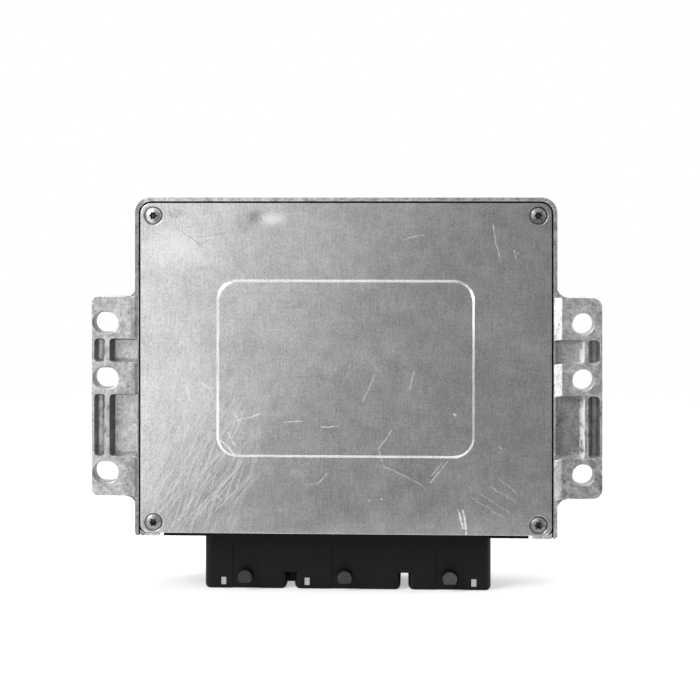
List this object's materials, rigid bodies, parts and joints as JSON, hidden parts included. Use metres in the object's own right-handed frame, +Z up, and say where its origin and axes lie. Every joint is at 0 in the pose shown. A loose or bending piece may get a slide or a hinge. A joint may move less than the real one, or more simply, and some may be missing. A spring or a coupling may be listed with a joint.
{
  "type": "engine control unit",
  "caption": "Cast aluminium engine control unit with a stamped cover, side mounting flanges and a black multi-bay connector header below",
  "frame": {"origin": "Centre of the bounding box at the height of the socket rims, on which the unit stands as in the picture", "axes": "+X to the right of the picture along the row of sockets, +Y from the cover to the back, +Z up"},
  "size_m": [0.219, 0.0368, 0.1681],
  "materials": {
    "cast_aluminium": "as-cast, mottled, with bright worn edges",
    "cover_aluminium": "rolled sheet, satin, with handling scratches",
    "screw_steel": "plated",
    "cover_seal_rubber": "matte",
    "header_plastic": "satin moulded black",
    "header_seal_rubber": "matte",
    "terminal_plastic": "matte moulded black",
    "contact_metal": "tin plated",
    "board_laminate": "solder resist",
    "board_screw_steel": "plated",
    "package_plastic": "moulded package",
    "can_metal": "drawn can",
    "choke_winding": "ferrite",
    "chip_ceramic": "ceramic",
    "pad_silicone": "silicone"
  },
  "bodies": {
    "root": {"housing": "cast_aluminium", "cover": "cover_aluminium", "cover_screws": "screw_steel", "cover_seal": "cover_seal_rubber", "header_body": "header_plastic", "header_seal": "header_seal_rubber", "header_screws": "board_screw_steel", "terminal_block_left": "terminal_plastic", "terminal_block_middle": "terminal_plastic", "terminal_block_right": "terminal_plastic", "pins_left": "contact_metal", "pins_middle": "contact_metal", "pins_right": "contact_metal", "circuit_board": "board_laminate", "board_screws": "board_screw_steel", "microcontroller": "package_plastic", "flash_memory": "package_plastic", "crystal": "can_metal", "pressure_sensor": "package_plastic", "voltage_regulator": "package_plastic", "injector_drivers": "package_plastic", "ignition_transistors": "package_plastic", "supply_diode": "package_plastic", "choke": "choke_winding", "electrolytic_capacitors": "can_metal", "chip_capacitors": "chip_ceramic", "thermal_pads": "pad_silicone"}
  },
  "joints": []
}
